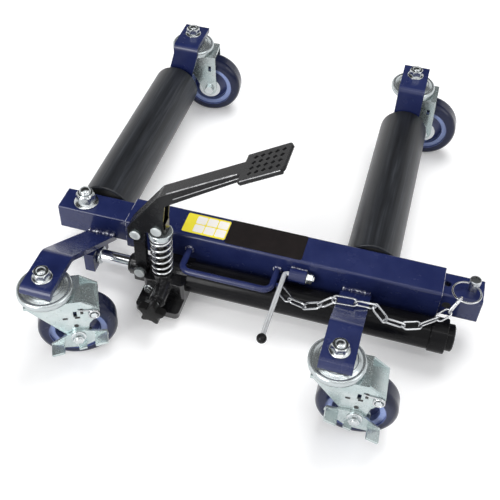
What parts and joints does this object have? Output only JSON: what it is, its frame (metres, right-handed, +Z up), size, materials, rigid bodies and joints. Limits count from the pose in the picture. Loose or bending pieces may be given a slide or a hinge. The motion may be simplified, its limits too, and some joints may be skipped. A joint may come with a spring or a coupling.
{
  "type": "vehicle positioning jack",
  "caption": "Low wheel dolly with a telescopic square beam, long tyre rollers on swivel casters, and a foot-pumped hydraulic ram that draws the rollers together to lift a wheel.",
  "frame": {"origin": "middle of the part's base, on the floor under the centre of its bounding box", "axes": "+X along the beam to the lock pin's end, +Y from the pump side to the free ends of the rollers, +Z up"},
  "size_m": [0.5856, 0.6412, 0.3007],
  "materials": {
    "navy_paint": "gloss",
    "roller_coat": "satin",
    "zinc_plate": "satin",
    "chrome": "polished",
    "black_paint": "gloss",
    "black_plastic": "gloss",
    "caster_tread": "satin",
    "caster_rim": "satin",
    "bush_plastic": "satin"
  },
  "bodies": {
    "frame": {"outer_tube": "navy_paint", "right_roller_axle": "zinc_plate", "right_rear_bracket": "navy_paint", "right_front_bracket": "navy_paint", "right_swivel_cups": "zinc_plate", "right_swivel_bolts": "zinc_plate", "cylinder_tube": "black_paint", "cylinder_ring": "black_paint", "cylinder_plug": "black_paint", "pump_block": "black_paint", "link_base_pin": "zinc_plate", "plunger_spring": "zinc_plate", "carry_handle": "navy_paint", "latch_sleeve": "navy_paint", "safety_chain": "chrome"},
    "left_arm": {"inner_tube": "navy_paint", "arm_bolt": "zinc_plate", "left_roller_axle": "zinc_plate", "left_rear_bracket": "navy_paint", "left_front_bracket": "navy_paint", "left_swivel_cups": "zinc_plate", "left_swivel_bolts": "zinc_plate", "piston_rod": "chrome", "piston": "zinc_plate", "rod_nut": "zinc_plate", "chain_end": "chrome"},
    "left_roller": {"left_roller": "roller_coat", "left_roller_bushes": "bush_plastic"},
    "right_roller": {"right_roller": "roller_coat", "right_roller_bushes": "bush_plastic"},
    "pedal_link": {"pedal_link": "black_paint"},
    "pedal": {"foot_pedal": "black_paint", "pedal_pins": "zinc_plate"},
    "plunger": {"pump_plunger": "zinc_plate", "spring_cap": "zinc_plate"},
    "release_valve": {"release_stem": "zinc_plate", "release_knob": "black_plastic"},
    "latch": {"latch_lever": "chrome", "latch_ball": "black_plastic", "latch_nut": "zinc_plate"},
    "lock_pin": {"lock_pin": "zinc_plate", "pin_ring": "chrome"},
    "front_left_caster": {"front_left_fork": "zinc_plate", "front_left_axle": "zinc_plate"},
    "front_left_wheel": {"front_left_hub": "caster_rim", "front_left_tread": "caster_tread"},
    "front_left_brake": {"front_left_brake": "zinc_plate"},
    "front_right_caster": {"front_right_fork": "zinc_plate", "front_right_axle": "zinc_plate"},
    "front_right_wheel": {"front_right_hub": "caster_rim", "front_right_tread": "caster_tread"},
    "front_right_brake": {"front_right_brake": "zinc_plate"},
    "rear_left_caster": {"rear_left_fork": "zinc_plate", "rear_left_axle": "zinc_plate"},
    "rear_left_wheel": {"rear_left_hub": "caster_rim", "rear_left_tread": "caster_tread"},
    "rear_right_caster": {"rear_right_fork": "zinc_plate", "rear_right_axle": "zinc_plate"},
    "rear_right_wheel": {"rear_right_hub": "caster_rim", "rear_right_tread": "caster_tread"}
  },
  "joints": [
    {"name": "arm_slide", "type": "slide", "parent": "frame", "child": "left_arm", "axis": [1, 0, 0], "range_m": [-0.031, 0.012], "deforming": ["safety_chain", "chain_end"]},
    {"name": "left_roller_spin", "type": "hinge", "parent": "left_arm", "child": "left_roller", "pos_m": [-0.24195, 0.08567, 0.063], "axis": [0, 1, 0], "continuous": true},
    {"name": "right_roller_spin", "type": "hinge", "parent": "frame", "child": "right_roller", "pos_m": [0.14275, 0.08897, 0.063], "axis": [0, 1, 0], "continuous": true},
    {"name": "pedal_press", "type": "hinge", "parent": "pedal_link", "child": "pedal", "pos_m": [-0.15275, -0.15708, 0.1318], "axis": [0, 1, 0], "range_deg": [0, 40], "stiffness_Nm_per_rad": 2, "springref_deg": -20.05},
    {"name": "link_rock", "type": "hinge", "parent": "frame", "child": "pedal_link", "pos_m": [-0.15275, -0.15708, 0.056], "axis": [0, 1, 0], "range_deg": [-4, 4]},
    {"name": "plunger_stroke", "type": "slide", "parent": "frame", "child": "plunger", "axis": [0, 0, 1], "range_m": [-0.0215, 0], "deforming": ["plunger_spring"]},
    {"name": "release_turn", "type": "hinge", "parent": "frame", "child": "release_valve", "pos_m": [-0.11725, -0.21708, 0.045], "axis": [0, -1, 0], "range_deg": [0, 360]},
    {"name": "latch_swing", "type": "hinge", "parent": "frame", "child": "latch", "pos_m": [0.05425, -0.12608, 0.0745], "axis": [1, 0, 0], "range_deg": [-90, 0]},
    {"name": "pin_lift", "type": "slide", "parent": "left_arm", "child": "lock_pin", "axis": [0, 0, 1], "range_m": [0, 0.05], "deforming": ["chain_end"]},
    {"name": "front_left_swivel", "type": "hinge", "parent": "left_arm", "child": "front_left_caster", "pos_m": [-0.22925, -0.27758, 0.11], "axis": [0, 0, 1], "continuous": true},
    {"name": "front_left_wheel_spin", "type": "hinge", "parent": "front_left_caster", "child": "front_left_wheel", "pos_m": [-0.20049, -0.26355, 0.05], "axis": [0.4384, -0.8988, 0], "continuous": true},
    {"name": "front_left_brake_rock", "type": "hinge", "parent": "front_left_caster", "child": "front_left_brake", "pos_m": [-0.20049, -0.26355, 0.05], "axis": [0.4384, -0.8988, 0], "range_deg": [-33, 0]},
    {"name": "front_right_swivel", "type": "hinge", "parent": "frame", "child": "front_right_caster", "pos_m": [0.13325, -0.27758, 0.11], "axis": [0, 0, 1], "continuous": true},
    {"name": "front_right_wheel_spin", "type": "hinge", "parent": "front_right_caster", "child": "front_right_wheel", "pos_m": [0.16521, -0.2759, 0.05], "axis": [0.0523, -0.9986, 0], "continuous": true},
    {"name": "front_right_brake_rock", "type": "hinge", "parent": "front_right_caster", "child": "front_right_brake", "pos_m": [0.16521, -0.2759, 0.05], "axis": [0.0523, -0.9986, 0], "range_deg": [0, 33]},
    {"name": "rear_left_swivel", "type": "hinge", "parent": "left_arm", "child": "rear_left_caster", "pos_m": [-0.22675, 0.28622, 0.11], "axis": [0, 0, 1], "range_deg": [-20, 176]},
    {"name": "rear_left_wheel_spin", "type": "hinge", "parent": "rear_left_caster", "child": "rear_left_wheel", "pos_m": [-0.19492, 0.28957, 0.05], "axis": [0.1045, -0.9945, 0], "continuous": true},
    {"name": "rear_right_swivel", "type": "hinge", "parent": "frame", "child": "rear_right_caster", "pos_m": [0.14275, 0.28622, 0.11], "axis": [0, 0, 1], "range_deg": [-14, 194]},
    {"name": "rear_right_wheel_spin", "type": "hinge", "parent": "rear_right_caster", "child": "rear_right_wheel", "pos_m": [0.17475, 0.28622, 0.05], "axis": [0, -1, 0], "continuous": true}
  ],
  "couplings": [
    {"joint": "link_rock", "follows": "pedal_press", "ratio": -0.051},
    {"joint": "plunger_stroke", "follows": "pedal_press", "m_per_rad": -0.0299}
  ]
}
